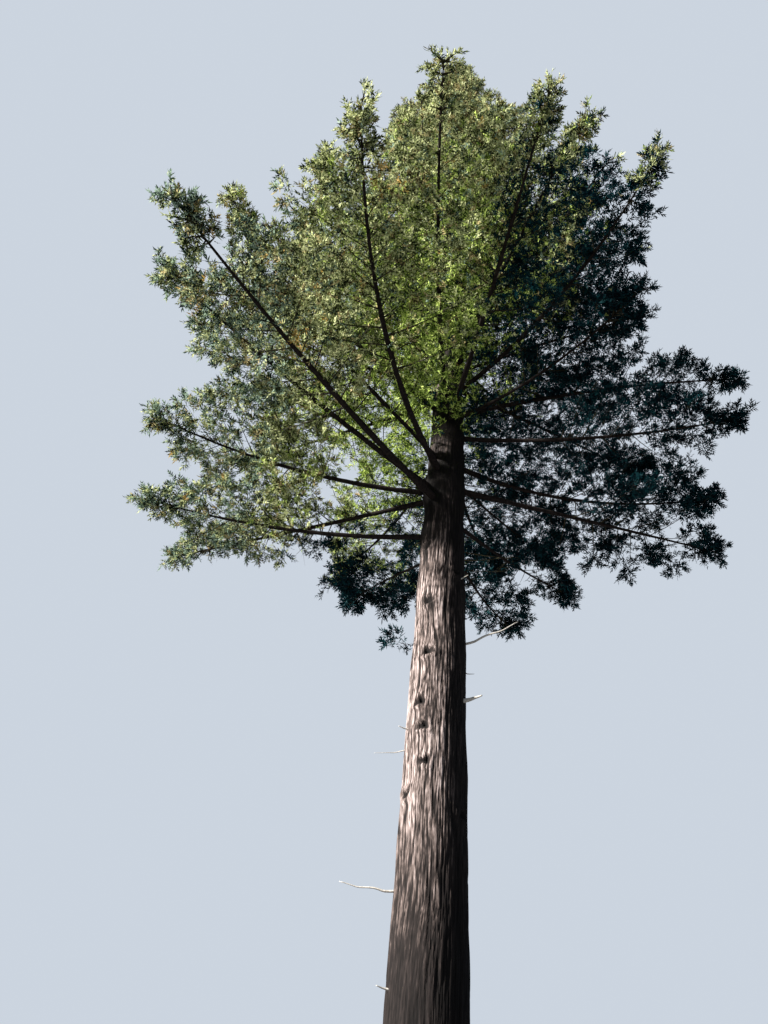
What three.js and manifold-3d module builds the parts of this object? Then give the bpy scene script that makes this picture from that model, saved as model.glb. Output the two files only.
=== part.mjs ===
// A coast redwood: a plumb trunk with a flared foot, boughs that fan out all round it, and masses of
// flat feathery sprays of needles. Millimetres, +Z up. The origin is the centre of the flat cut at
// ground level. A heading is in degrees from +X towards +Y, so the side seen from below is near 270.
import * as THREE from "three";
import { mergeVertices } from "three/addons/utils/BufferGeometryUtils.js";
import Module from "manifold-3d";

const wasm = await Module();
wasm.setup();

// Driving sizes of the whole tree
const METRE = 1000;
const TREE_HEIGHT = 38 * METRE;
const TRUNK_HEIGHT = 36.3 * METRE; // above it the leader is a thin stem with foliage
const JOINT_GAP = 0.3; // clear space between pieces that touch
const UP = new THREE.Vector3(0, 0, 1);
const GOLDEN_TURN = 137.5;

// Trunk: height above the ground and diameter over the bark, in metres
const TRUNK_GIRTHS = [
  [0, 1.34],
  [1.3, 1.23],
  [3.4, 1.15],
  [6.9, 1.04],
  [10.3, 0.93],
  [14.5, 0.74],
  [20, 0.56],
  [26, 0.38],
  [32, 0.21],
  [36.3, 0.08],
];
const TRUNK_SIDES = 16;
const TRUNK_RINGS = 19;
const RING_CROWDING = 1.7; // above 1, the rings stand closer together at the foot
const FLARE = { spread: 0.24 * METRE, height: 0.7 * METRE, lobes: 6, depth: 0.45 };

// Boughs: sizes that follow from a bough's own reach
const BOUGH_SAG = 0.035; // how far the middle hangs below the line from root to tip
const BOUGH_THICKNESS = 0.008; // radius at the trunk
const TIP_THICKNESS = 0.0012;
const BOUGH_TAPER = 0.85;
const COLLAR = { growth: 0.25, share: 0.05 };
const BOUGH_SIDES = 4;
const LIMB_SHARE = 0.36; // the bare share of a main bough, up to where its foliage starts
const STEM_END = 0.86;

// Masses of foliage: twigs branch alternately off the stem, and each widens into a long spray
const TWIG_THICKNESS = 0.5; // of the stem's, where the twig grows
const TWIG_TAPER = 0.7;
const TWIG_BARE = 0.2; // the share of a twig's length before its spray starts
const TWIG_ANGLE = { inner: 74, outer: 38, spread: 12 };
const TWIG_RISE = 12; // degrees above the level of the bough, on average
// Of the mass's half width, along its stem
const TWIG_SWELL = [[0, 0.85], [0.4, 1], [0.75, 0.72], [1, 0.42]];
const TWIG_ROLL = 30; // degrees, either way
const TWIG_ROOM = 0.04; // the share of a line that is kept free of twigs at either end of its foliage
const TWIG_OFFSET = 0.35; // the first twig's place, in steps from one twig to the next
const TWIG_LENGTHS = [0.9, 1.1]; // shortest and longest, for the same place on the same bough
const TWIG_MIDDLE = 0.6; // the share of its length where a twig with its spray has its middle
const SEED_STEPS = { bough: 100, stem: 30 };
// A spray is a blade with teeth down both sides. These are shares of its length, from its root.
const SPRAY = {
  thickness: 0.035,
  crest: 0.42,
  teeth: [
    { at: 0.24, reach: 0.35, notchAt: 0.41, notch: 0.17 },
    { at: 0.58, reach: 0.3, notchAt: 0.72, notch: 0.12 },
  ],
};
// A piece that comes too near any that it doesn't grow from is made smaller, and then left out
const FIT_STEPS = [1, 0.85, 0.7];
const CLEARANCE = 110;
const SPACE_FLATTENING = 0.4; // a step sideways counts this much of a step up or down
const SPACE_POINTS = 24; // steps along each line that the spaces are measured from
const SMOOTHING = 2;

// The boughs of the lower crown, in metres and degrees: root height, heading, reach, rise of the tip,
// and sweep of the middle to the side. Those with a limb show it bare for their first third. A mass may
// have a width of its own, and a start of its own for its foliage.
const LOWER_BOUGHS = [
  { name: "near_left", height: 12.7, heading: 231, reach: 8.1, lift: 0.2, sweep: 0, limb: true,
    width: 0.25 },
  { name: "left_high", height: 13.0, heading: 214, reach: 7.2, lift: 1.5, sweep: 0, limb: true,
    width: 0.2 },
  { name: "near", height: 13.5, heading: 253, reach: 7.8, lift: 0.7, sweep: -0.45, limb: true,
    width: 0.3 },
  { name: "left", height: 13.1, heading: 189, reach: 6.5, lift: 0.5, sweep: -0.25, limb: true,
    width: 0.32 },
  { name: "left_low", height: 11.9, heading: 181, reach: 6.2, lift: 0.1, sweep: -0.15, limb: true,
    width: 0.27 },
  { name: "back_left_low", height: 11.4, heading: 122, reach: 3.4, lift: 0.7, sweep: 0.2, limb: true,
    width: 0.32 },
  { name: "near_right", height: 15.2, heading: 276, reach: 7.4, lift: 0.5, sweep: 0, limb: true },
  { name: "right_near", height: 16.3, heading: 297, reach: 6.9, lift: 0.2, sweep: 0.3, limb: true,
    width: 0.2 },
  { name: "right_high", height: 15.6, heading: 352, reach: 7.0, lift: 1.4, sweep: -0.45, limb: true,
    width: 0.15 },
  { name: "right", height: 14.9, heading: 344, reach: 6.4, lift: -0.3, sweep: 0.1, limb: true,
    width: 0.25 },
  { name: "right_low", height: 14.1, heading: 2, reach: 6.2, lift: 0, sweep: 0.45, limb: true,
    width: 0.25 },
  { name: "right_back", height: 13.3, heading: 12, reach: 6.8, lift: 0.2, sweep: -0.25, limb: true },
  { name: "back_right", height: 12.5, heading: 43, reach: 5.0, lift: 0.8, sweep: 0, limb: true,
    width: 0.15 },
  { name: "back", height: 13.5, heading: 88, reach: 5.6, lift: 0.5, sweep: -0.2, from: 0.12 },
  { name: "back_right_low", height: 12.4, heading: 62, reach: 5.2, lift: 0.5, sweep: 0.2, from: 0.12 },
  { name: "back_inner", height: 13.8, heading: 44, reach: 4.3, lift: 0.3, sweep: 0,
    width: 0.36, from: 0.14 },
  { name: "back_left", height: 13.0, heading: 159, reach: 6.6, lift: -0.6, sweep: 0.2, width: 0.13 },
  { name: "near_left_upper", height: 13.9, heading: 220, reach: 6.0, lift: 1.2, sweep: 0.2 },
  { name: "left_upper", height: 15.6, heading: 220, reach: 6.8, lift: 1.3, sweep: -0.2, width: 0.17 },
  { name: "near_left_top", height: 17.0, heading: 235, reach: 5.8, lift: 0.9, sweep: -0.3,
    width: 0.26 },
  { name: "near_upper", height: 15.8, heading: 262, reach: 7.6, lift: 0.4, sweep: -0.15 },
  { name: "near_right_upper", height: 16.6, heading: 286, reach: 6.7, lift: 0.8, sweep: -0.2 },
  { name: "right_middle", height: 15.4, heading: 313, reach: 5.2, lift: 0.5, sweep: 0.2 },
  { name: "right_upper", height: 17.2, heading: 337, reach: 4.9, lift: 0.7, sweep: -0.2 },
  { name: "right_back_upper", height: 16.8, heading: 26, reach: 6.2, lift: 0.5, sweep: -0.2,
    from: 0.12 },
  { name: "back_right_upper", height: 15.2, heading: 68, reach: 6.3, lift: 0.3, sweep: 0.2,
    from: 0.12 },
  { name: "back_upper", height: 14.6, heading: 113, reach: 6.1, lift: 0.4, sweep: -0.2, from: 0.12 },
  { name: "back_left_upper", height: 16.2, heading: 148, reach: 6.2, lift: 0.4, sweep: 0.2,
    from: 0.12 },
  { name: "left_side_upper", height: 16.4, heading: 190, reach: 5.9, lift: 0.8, sweep: 0.2,
    width: 0.26 },
];
const LOWER = { width: 0.3, twigs: 6, foliageFrom: 0.2, spread: 50 };

// The upper crown follows a rule: each mass turns a golden angle past the one below it, and its stem
// forks both ways near the trunk
const UPPER = {
  count: 14,
  lowest: 18.3 * METRE,
  highest: 35.1 * METRE,
  firstHeading: 300,
  crownTop: 38.4 * METRE,
  crownFoot: 15 * METRE,
  reachAtFoot: 6.8 * METRE,
  taper: 1.06,
  lift: { foot: 0.12, top: 0.7 },
  width: { main: 0.42, fork: 0.44 },
  twigs: { main: 4, fork: 2 },
  foliageFrom: 0.26,
  spread: 110, // degrees between the steepest twigs
};
const FORKS = [
  { turn: 44, share: 0.17, reach: 0.78, lift: 0.45 },
  { turn: -40, share: 0.24, reach: 0.76, lift: -0.28 },
];

// The leader: an upright stem on the trunk's tip, with twigs all round it
const LEADER = { lean: 60, width: 0.5, twigs: 6, from: 0.08, spiral: true, spread: 0 };

// Bare dead limbs low on the trunk, thinner towards their tips
const DEAD_LIMBS = [
  { name: "dead_limb_right", height: 9.15, heading: 352, reach: 1.45, lift: 0.7, radius: 28 },
  { name: "dead_limb_left", height: 5.05, heading: 182, reach: 1.35, lift: 0.02, radius: 18 },
];

const DEAD_TIP = 0.3; // of the radius at the trunk

const COLOURS = {
  bark: { color: 0x6f5547, roughness: 0.95, metalness: 0 },
  limb: { color: 0x4a3b33, roughness: 0.9, metalness: 0 },
  deadwood: { color: 0xb9b2a6, roughness: 0.9, metalness: 0 },
  needles: { color: 0x55702f, roughness: 0.8, metalness: 0 },
};

function seeded(seed) {
  let state = Math.imul(seed + 1, 2654435761) >>> 0;
  const next = () => {
    state = (Math.imul(state, 1664525) + 1013904223) >>> 0;
    return state / 4294967296;
  };
  next();
  next();
  return next;
}

function mix(a, b, share) {
  return a + (b - a) * share;
}

function radians(degrees) {
  return (degrees * Math.PI) / 180;
}

// The value at a place between [place, value] stations that straight lines join
function between(stations, place) {
  const after = stations.findIndex(([at]) => place <= at);
  if (after < 0) return stations.at(-1)[1];
  const [start, end] = stations.slice(Math.max(0, after - 1)).slice(0, 2);
  return mix(start[1], end[1], (place - start[0]) / (end[0] - start[0]));
}

function solidFrom(vertices, triangles) {
  const geometry = new THREE.BufferGeometry();
  const positions = vertices.flatMap((vertex) => vertex.toArray());
  geometry.setAttribute("position", new THREE.Float32BufferAttribute(positions, 3));
  geometry.setIndex(triangles.flat());
  const merged = mergeVertices(geometry);
  const mesh = new wasm.Mesh({
    numProp: 3,
    vertProperties: merged.attributes.position.array,
    triVerts: new Uint32Array(merged.index.array),
  });
  return new wasm.Manifold(mesh);
}

function ringPoint(centre, across, over, radius, angle) {
  return centre
    .clone()
    .addScaledVector(across, Math.cos(angle) * radius)
    .addScaledVector(over, Math.sin(angle) * radius);
}

// A closed solid through rings of points, numbered from the top round, with a flat cap on its first
// ring. Its end is a flat cap too, or the teeth of a blade, whose back three corners are the last ring.
function loft(rings, teeth = null) {
  const starts = rings.map((_, r) => rings.slice(0, r).reduce((sum, ring) => sum + ring.length, 0));
  const triangles = [];
  for (let r = 0; r + 1 < rings.length; r++) {
    triangles.push(...zip(starts[r], rings[r].length, starts[r + 1], rings[r + 1].length));
  }
  for (let i = 1; i + 1 < rings[0].length; i++) triangles.push([0, i + 1, i]);
  const [last, count] = [starts.at(-1), rings.at(-1).length];
  if (teeth) {
    triangles.push(...bladeFront(last, last + count, teeth.length));
    return solidFrom([...rings.flat(), ...teeth], triangles);
  }
  for (let i = 1; i + 1 < count; i++) triangles.push([last, last + i, last + i + 1]);
  return solidFrom(rings.flat(), triangles);
}

// Triangles between two rings that may differ in their number of points, taken in turn by angle
function zip(back, backCount, front, frontCount) {
  const triangles = [];
  for (let [i, j] = [0, 0]; i + j < backCount + frontCount; ) {
    const [a, b] = [back + (i % backCount), front + (j % frontCount)];
    if ((j + 1) / frontCount <= (i + 1) / backCount) {
      j += 1;
      triangles.push([a, front + (j % frontCount), b]);
    } else {
      i += 1;
      triangles.push([a, back + (i % backCount), b]);
    }
  }
  return triangles;
}

function trunkRadius(height) {
  return (between(TRUNK_GIRTHS, height / METRE) * METRE) / 2;
}

function flareRadius(height, angle) {
  const lobe = 1 + FLARE.depth * Math.cos(FLARE.lobes * angle + Math.sin(2 * angle));
  return FLARE.spread * Math.exp(-height / FLARE.height) * lobe;
}

// The trunk, grown all round and at its top by the given amount
function trunkSolid(growth) {
  const rings = [];
  for (let r = 0; r <= TRUNK_RINGS; r++) {
    const share = (r / TRUNK_RINGS) ** RING_CROWDING;
    const height = (TRUNK_HEIGHT + growth) * share;
    const ring = [];
    for (let i = 0; i < TRUNK_SIDES; i++) {
      const angle = (i / TRUNK_SIDES) * 2 * Math.PI;
      const radius = trunkRadius(height) + flareRadius(height, angle) + growth;
      ring.push(new THREE.Vector3(Math.cos(angle) * radius, Math.sin(angle) * radius, height));
    }
    rings.push(ring);
  }
  return loft(rings);
}

// The centre line of a bough or a stem: out to its tip, sagging and sweeping in the middle. Its span
// sets how thick it is and how large its foliage grows.
class BoughLine extends THREE.Curve {
  constructor({ start, heading, reach, lift, sweep = 0, span = reach }) {
    super();
    const angle = radians(heading);
    this.outward = new THREE.Vector3(Math.cos(angle), Math.sin(angle), 0);
    this.aside = new THREE.Vector3().crossVectors(UP, this.outward);
    Object.assign(this, { start, reach, lift, sweep, span });
  }

  getPoint(share, target = new THREE.Vector3()) {
    const bow = 4 * share * (1 - share);
    return target
      .copy(this.start)
      .addScaledVector(this.outward, this.reach * share)
      .addScaledVector(this.aside, this.sweep * bow)
      .addScaledVector(UP, this.lift * share - BOUGH_SAG * this.reach * bow);
  }

  frame(share) {
    const forward = this.getTangent(share);
    const right = new THREE.Vector3().crossVectors(forward, UP).normalize();
    return { forward, right, upward: new THREE.Vector3().crossVectors(right, forward) };
  }

  radius(share) {
    const collar = 1 + COLLAR.growth * Math.exp(-share / COLLAR.share);
    return this.span * (BOUGH_THICKNESS * (1 - share) ** BOUGH_TAPER * collar + TIP_THICKNESS);
  }
}

function tube({ line, from, to, radiusAt, sides, steps, blade = null }) {
  const rings = [];
  for (let r = 0; r <= steps; r++) {
    const share = mix(from, to, r / steps);
    const { right, upward } = line.frame(share);
    const centre = line.getPoint(share);
    const ring = [];
    for (let i = 0; i < sides; i++) {
      ring.push(ringPoint(centre, upward, right, radiusAt(share), ((i + 0.5) / sides) * 2 * Math.PI));
    }
    rings.push(ring);
  }
  return blade ? loft([...rings, blade.back], blade.teeth) : loft(rings);
}

// The corners of a toothed blade with a flat underside: the back three are its crest and its first tooth
// on the right and the left, and the rest run round its edge from right to left
function bladeCorners(root, direction, normal, length) {
  const right = new THREE.Vector3().crossVectors(direction, normal).normalize();
  const at = (along, beside, above = 0) =>
    root
      .clone()
      .addScaledVector(direction, length * along)
      .addScaledVector(right, length * beside)
      .addScaledVector(normal, length * above);
  const [first, ...others] = SPRAY.teeth.flatMap((tooth) => [
    [tooth.at, tooth.reach],
    [tooth.notchAt, tooth.notch],
  ]);
  const back = [at(SPRAY.crest, 0, SPRAY.thickness), at(...first), at(first[0], -first[1])];
  const rightSide = others.map(([along, beside]) => at(along, beside));
  const leftSide = others.map(([along, beside]) => at(along, -beside)).reverse();
  return { back, teeth: [...rightSide, at(1, 0), ...leftSide] };
}

// Triangles of a blade in front of its back three corners: a fan round the crest, and rungs below
function bladeFront(back, teeth, count) {
  const edge = [back + 1, ...Array.from({ length: count }, (_, i) => teeth + i), back + 2];
  const fan = edge.slice(1).map((corner, i) => [back, edge[i], corner]);
  const rungs = [];
  for (let i = 0; i < (count - 1) / 2; i++) {
    const [right, left] = [edge[i], edge[edge.length - 1 - i]];
    const [nextRight, nextLeft] = [edge[i + 1], edge[edge.length - 2 - i]];
    rungs.push([right, left, nextRight], [left, nextLeft, nextRight]);
  }
  const middle = (count + 1) / 2;
  return [...fan, ...rungs, [edge[middle - 1], edge[middle + 1], edge[middle]]];
}

// A three-sided twig that widens into a spray
function twigSolid(root, direction, normal, length, radius) {
  const right = new THREE.Vector3().crossVectors(direction, normal).normalize();
  const end = root.clone().addScaledVector(direction, length * TWIG_BARE);
  const rings = [[root, radius], [end, radius * TWIG_TAPER]].map(([centre, size]) =>
    [0, 1, 2].map((i) => ringPoint(centre, normal, right, size, (i / 3) * 2 * Math.PI)),
  );
  const { back, teeth } = bladeCorners(end, direction, normal, length * (1 - TWIG_BARE));
  return loft([...rings, back], teeth);
}

// Each bough has one or more stems that twigs branch off, from a share of its line outwards
function lowerBoughs() {
  return LOWER_BOUGHS.map(({ name, height, heading, reach, lift, sweep, limb = false, ...own }) => {
    const start = new THREE.Vector3(0, 0, height * METRE);
    const sizes = { reach: reach * METRE, lift: lift * METRE, sweep: sweep * METRE };
    const line = new BoughLine({ start, heading, ...sizes });
    const from = limb ? LIMB_SHARE : LOWER.foliageFrom;
    return { name, limb, stems: [{ ...LOWER, line, from, ...own }] };
  });
}

function upperBough(number) {
  const share = number / (UPPER.count - 1);
  const height = mix(UPPER.lowest, UPPER.highest, share);
  const tapering = (UPPER.crownTop - height) / (UPPER.crownTop - UPPER.crownFoot);
  const reach = UPPER.reachAtFoot * tapering ** UPPER.taper;
  const heading = UPPER.firstHeading + GOLDEN_TURN * number;
  const rise = mix(UPPER.lift.foot, UPPER.lift.top, share);
  const start = new THREE.Vector3(0, 0, height);
  const line = new BoughLine({ start, heading, reach, lift: reach * rise });
  const { foliageFrom: from, spread } = UPPER;
  const stems = [{ line, from, spread, twigs: UPPER.twigs.main, width: UPPER.width.main }];
  for (const fork of FORKS) {
    const forkReach = reach * fork.reach;
    const forkLine = new BoughLine({
      start: line.getPoint(fork.share),
      heading: heading + fork.turn,
      reach: forkReach,
      lift: forkReach * (rise + fork.lift),
    });
    stems.push({ line: forkLine, from, spread, twigs: UPPER.twigs.fork, width: UPPER.width.fork });
  }
  return { name: `upper_${String(number + 1).padStart(2, "0")}`, limb: false, stems };
}

function leaderBough() {
  const start = new THREE.Vector3(0, 0, TRUNK_HEIGHT);
  const span = TREE_HEIGHT - TRUNK_HEIGHT;
  const line = new BoughLine({ start, heading: 0, reach: LEADER.lean, lift: span, span });
  return { name: "leader", limb: false, stems: [{ ...LEADER, line }] };
}

const UPPER_BOUGHS = Array.from({ length: UPPER.count }, (_, number) => upperBough(number));
const BOUGHS = [...lowerBoughs(), ...UPPER_BOUGHS, leaderBough()].map((bough, index) => ({
  ...bough,
  index,
  pieces: [],
}));

// Clear space: every piece placed so far, and the one that it grows from
const placed = [];

function boxesNear(a, b, margin) {
  return [0, 1, 2].every((k) => a.min[k] < b.max[k] + margin && b.min[k] < a.max[k] + margin);
}

function isClear(solid, parent) {
  const box = solid.boundingBox();
  return placed.every(
    (other) =>
      other.solid === parent ||
      !boxesNear(box, other.box, CLEARANCE) ||
      solid.minGap(other.solid, CLEARANCE) >= CLEARANCE,
  );
}

function keep(solid) {
  placed.push({ solid, box: solid.boundingBox() });
  return solid;
}

// A place belongs to the bough whose stems are nearest, with steps sideways counted as shorter
const LINE_POINTS = BOUGHS.map(({ stems }) => stems.flatMap(({ line }) => line.getPoints(SPACE_POINTS)));

function spaceDistance(points, place) {
  const steps = points.map((p) => {
    const aside = Math.hypot(p.x - place.x, p.y - place.y) * SPACE_FLATTENING;
    return Math.hypot(aside, p.z - place.z);
  });
  return Math.min(...steps);
}

function ownsPlace(owner, place) {
  const own = spaceDistance(LINE_POINTS[owner], place);
  return LINE_POINTS.every((points, index) => index === owner || spaceDistance(points, place) > own);
}

// The largest of the allowed sizes at which a piece is clear of all but its parent, with its middle
// in its own mass's space
function fitted(owner, parent, build) {
  for (const size of FIT_STEPS) {
    const { solid, middle } = build(size);
    if (ownsPlace(owner, middle) && isClear(solid, parent)) return solid;
  }
  return null;
}

function twigDirection(line, place, angle, turn) {
  const { forward, right, upward } = line.frame(place);
  return forward
    .clone()
    .multiplyScalar(Math.cos(angle))
    .addScaledVector(right, Math.sin(angle) * Math.cos(turn))
    .addScaledVector(upward, Math.sin(angle) * Math.sin(turn));
}

// Where a stem's twig of this number grows, and which way
function twigOf(bough, stem, number) {
  const stemNumber = bough.stems.indexOf(stem);
  const random = seeded(bough.index * SEED_STEPS.bough + stemNumber * SEED_STEPS.stem + number);
  const share = (number + TWIG_OFFSET) / stem.twigs;
  const place = mix(stem.from + TWIG_ROOM, STEM_END - TWIG_ROOM, share);
  const side = number % 2 ? -1 : 1;
  const angle = mix(TWIG_ANGLE.inner, TWIG_ANGLE.outer, share) + TWIG_ANGLE.spread * (random() - 0.5);
  const rise = TWIG_RISE + stem.spread * (random() - 0.5);
  const flat = side > 0 ? rise : 180 - rise;
  const turn = stem.spiral ? GOLDEN_TURN * number : flat;
  const direction = twigDirection(stem.line, place, radians(angle), radians(turn));
  const right = new THREE.Vector3().crossVectors(direction, UP).normalize();
  const level = new THREE.Vector3().crossVectors(right, direction);
  return {
    root: stem.line.getPoint(place),
    direction,
    normal: level.applyAxisAngle(direction, radians(TWIG_ROLL * (2 * random() - 1))),
    length: stem.line.span * stem.width * between(TWIG_SWELL, share) * mix(...TWIG_LENGTHS, random()),
    radius: stem.line.radius(place) * TWIG_THICKNESS,
  };
}

function growTwig(bough, stem, number) {
  const { root, direction, normal, length, radius } = twigOf(bough, stem, number);
  const twig = fitted(bough.index, stem.solid, (size) => ({
    solid: twigSolid(root, direction, normal, length * size, radius),
    middle: root.clone().addScaledVector(direction, length * size * TWIG_MIDDLE),
  }));
  if (twig) bough.pieces.push(keep(twig));
}

function geometryOf(solid) {
  const mesh = solid.getMesh();
  const geometry = new THREE.BufferGeometry();
  geometry.setAttribute("position", new THREE.BufferAttribute(new Float32Array(mesh.vertProperties), 3));
  geometry.setIndex(new THREE.BufferAttribute(new Uint32Array(mesh.triVerts), 1));
  return geometry;
}

const tree = new THREE.Group();
tree.name = "redwood_tree";

function addPart(name, solid, finish) {
  const mesh = new THREE.Mesh(geometryOf(solid), new THREE.MeshStandardMaterial(COLOURS[finish]));
  mesh.name = name;
  tree.add(mesh);
}

// Wood first: trunk, dead limbs, limbs and stems
const trunkCutter = trunkSolid(JOINT_GAP);
addPart("trunk", keep(trunkSolid(0)), "bark");

for (const { name, height, heading, reach, lift, radius } of DEAD_LIMBS) {
  const start = new THREE.Vector3(0, 0, height * METRE);
  const line = new BoughLine({ start, heading, reach: reach * METRE, lift: lift * METRE });
  const radiusAt = (share) => radius * mix(1, DEAD_TIP, share);
  const wood = tube({ line, from: 0, to: 1, radiusAt, sides: BOUGH_SIDES, steps: 4 });
  addPart(name, keep(wood.subtract(trunkCutter)), "deadwood");
}

function stemSolid(line, from, sides, steps) {
  const { forward, upward } = line.frame(STEM_END);
  const length = line.getLength() * (1 - STEM_END);
  const blade = bladeCorners(line.getPoint(STEM_END), forward, upward, length);
  return tube({ line, from, to: STEM_END, radiusAt: (share) => line.radius(share), sides, steps, blade });
}

for (const bough of BOUGHS) {
  const [main, ...forks] = bough.stems;
  const { line } = main;
  if (bough.limb) {
    const radiusAt = (share) => line.radius(share);
    const limb = tube({ line, from: 0, to: LIMB_SHARE, radiusAt, sides: BOUGH_SIDES, steps: 4 });
    addPart(`bough_${bough.name}`, keep(limb.subtract(trunkCutter)), "limb");
  }
  const from = bough.limb ? LIMB_SHARE + JOINT_GAP / line.reach : 0;
  main.solid = keep(stemSolid(line, from, BOUGH_SIDES, 3));
  for (const fork of forks) fork.solid = keep(stemSolid(fork.line, 0, 3, 3));
  bough.pieces.push(...bough.stems.map(({ solid }) => solid));
}

// Then the foliage, in rounds, so that each mass gets its share of the room
for (let number = 0; number < LOWER.twigs; number++) {
  for (const bough of BOUGHS) {
    for (const stem of bough.stems) {
      if (number < stem.twigs) growTwig(bough, stem, number);
    }
  }
}
for (const { name, pieces } of BOUGHS) {
  const mass = wasm.Manifold.union(pieces).simplify(SMOOTHING).subtract(trunkCutter);
  addPart(`foliage_${name}`, mass, "needles");
}

export default tree;
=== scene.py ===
# A coast redwood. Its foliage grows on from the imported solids' stems by their own rule, down to sprays
# of needles, and its wood has the bark's relief. Metres, +Z up, with the ground at z = 0.
import math

import bpy
import numpy as np
from mathutils import Matrix, Vector, noise


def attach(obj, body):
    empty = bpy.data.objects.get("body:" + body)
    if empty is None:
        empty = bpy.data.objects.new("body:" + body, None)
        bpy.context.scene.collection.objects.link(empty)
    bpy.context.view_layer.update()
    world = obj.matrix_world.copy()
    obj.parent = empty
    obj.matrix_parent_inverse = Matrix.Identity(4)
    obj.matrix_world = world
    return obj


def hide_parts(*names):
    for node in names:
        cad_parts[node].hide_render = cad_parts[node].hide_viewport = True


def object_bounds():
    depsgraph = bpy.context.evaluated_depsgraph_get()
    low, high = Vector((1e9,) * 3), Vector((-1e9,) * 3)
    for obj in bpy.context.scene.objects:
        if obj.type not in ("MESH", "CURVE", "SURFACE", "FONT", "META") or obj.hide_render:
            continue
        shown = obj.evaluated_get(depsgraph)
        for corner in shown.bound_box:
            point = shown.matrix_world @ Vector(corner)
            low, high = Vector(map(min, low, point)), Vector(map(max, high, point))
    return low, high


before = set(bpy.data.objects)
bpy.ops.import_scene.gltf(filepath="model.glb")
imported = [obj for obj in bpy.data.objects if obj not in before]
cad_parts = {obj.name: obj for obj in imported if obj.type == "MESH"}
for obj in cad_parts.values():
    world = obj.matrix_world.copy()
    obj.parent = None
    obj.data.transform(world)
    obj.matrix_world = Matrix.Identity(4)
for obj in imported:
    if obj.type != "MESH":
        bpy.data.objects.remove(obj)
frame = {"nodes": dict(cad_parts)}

cad_low, cad_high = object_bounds()

# Camera: it stands on level ground near the trunk and looks up
IMAGE_HEIGHT = 1024
FOCAL_PIXELS = 769
SENSOR_MM = 36
EYE = (-1.26, -12.0, 1.6)
PITCH = 42
ROLL = 6

# Sizes of the solids, which the wood and the foliage here follow
TREE_HEIGHT = 38
TRUNK_HEIGHT = 36.3
TRUNK_GIRTHS = np.array(
    [[0, 1.34], [1.3, 1.23], [3.4, 1.15], [6.9, 1.04], [10.3, 0.93], [14.5, 0.74]]
    + [[20, 0.56], [26, 0.38], [32, 0.21], [36.3, 0.08]]
)
FLARE = {"spread": 0.24, "height": 0.7, "lobes": 6, "depth": 0.45}
BOUGH_SAG = 0.035
BOUGH_THICKNESS = 0.008
TIP_THICKNESS = 0.0012
BOUGH_TAPER = 0.85
COLLAR = {"growth": 0.25, "share": 0.05}
LIMB_SHARE = 0.36
STEM_END = 0.86
GOLDEN_TURN = 137.5
TWIG_THICKNESS = 0.5
TWIG_ANGLE = {"inner": 74, "outer": 38, "spread": 12}
TWIG_RISE = 12
TWIG_SWELL = np.array([[0, 0.85], [0.4, 1], [0.75, 0.72], [1, 0.42]])
TWIG_ROLL = 30
TWIG_ROOM = 0.04
TWIG_OFFSET = 0.35
TWIG_LENGTHS = (0.9, 1.1)
SEED_STEPS = {"bough": 100, "stem": 30, "between": 10_000}
RANDOM = {"first": 2654435761, "factor": 1664525, "step": 1013904223, "range": 2**32}

# Name, root height, heading, reach, rise, sweep, its twigs' length as a share of the reach, and whether its
# first third is a bare limb
LOWER_BOUGHS = [
    ("near_left", 12.7, 231, 8.1, 0.2, 0, 0.25, True),
    ("left_high", 13.0, 214, 7.2, 1.5, 0, 0.2, True),
    ("near", 13.5, 253, 7.8, 0.7, -0.45, 0.3, True),
    ("left", 13.1, 189, 6.5, 0.5, -0.25, 0.32, True),
    ("left_low", 11.9, 181, 6.2, 0.1, -0.15, 0.27, True),
    ("back_left_low", 11.4, 122, 3.4, 0.7, 0.2, 0.32, True),
    ("near_right", 15.2, 276, 7.4, 0.5, 0, 0.3, True),
    ("right_near", 16.3, 297, 6.9, 0.2, 0.3, 0.2, True),
    ("right_high", 15.6, 352, 7.0, 1.4, -0.45, 0.15, True),
    ("right", 14.9, 344, 6.4, -0.3, 0.1, 0.25, True),
    ("right_low", 14.1, 2, 6.2, 0, 0.45, 0.25, True),
    ("right_back", 13.3, 12, 6.8, 0.2, -0.25, 0.3, True),
    ("back_right", 12.5, 43, 5.0, 0.8, 0, 0.15, True),
    ("back", 13.5, 88, 5.6, 0.5, -0.2, 0.3, False),
    ("back_right_low", 12.4, 62, 5.2, 0.5, 0.2, 0.3, False),
    ("back_inner", 13.8, 44, 4.3, 0.3, 0, 0.36, False),
    ("back_left", 13.0, 159, 6.6, -0.6, 0.2, 0.13, False),
    ("near_left_upper", 13.9, 220, 6.0, 1.2, 0.2, 0.3, False),
    ("left_upper", 15.6, 220, 6.8, 1.3, -0.2, 0.17, False),
    ("near_left_top", 17.0, 235, 5.8, 0.9, -0.3, 0.26, False),
    ("near_upper", 15.8, 262, 7.6, 0.4, -0.15, 0.3, False),
    ("near_right_upper", 16.6, 286, 6.7, 0.8, -0.2, 0.3, False),
    ("right_middle", 15.4, 313, 5.2, 0.5, 0.2, 0.3, False),
    ("right_upper", 17.2, 337, 4.9, 0.7, -0.2, 0.3, False),
    ("right_back_upper", 16.8, 26, 6.2, 0.5, -0.2, 0.3, False),
    ("back_right_upper", 15.2, 68, 6.3, 0.3, 0.2, 0.3, False),
    ("back_upper", 14.6, 113, 6.1, 0.4, -0.2, 0.3, False),
    ("back_left_upper", 16.2, 148, 6.2, 0.4, 0.2, 0.3, False),
    ("left_side_upper", 16.4, 190, 5.9, 0.8, 0.2, 0.26, False),
]
LOWER = {"twigs": 6, "from": 0.2, "spread": 50}
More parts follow.
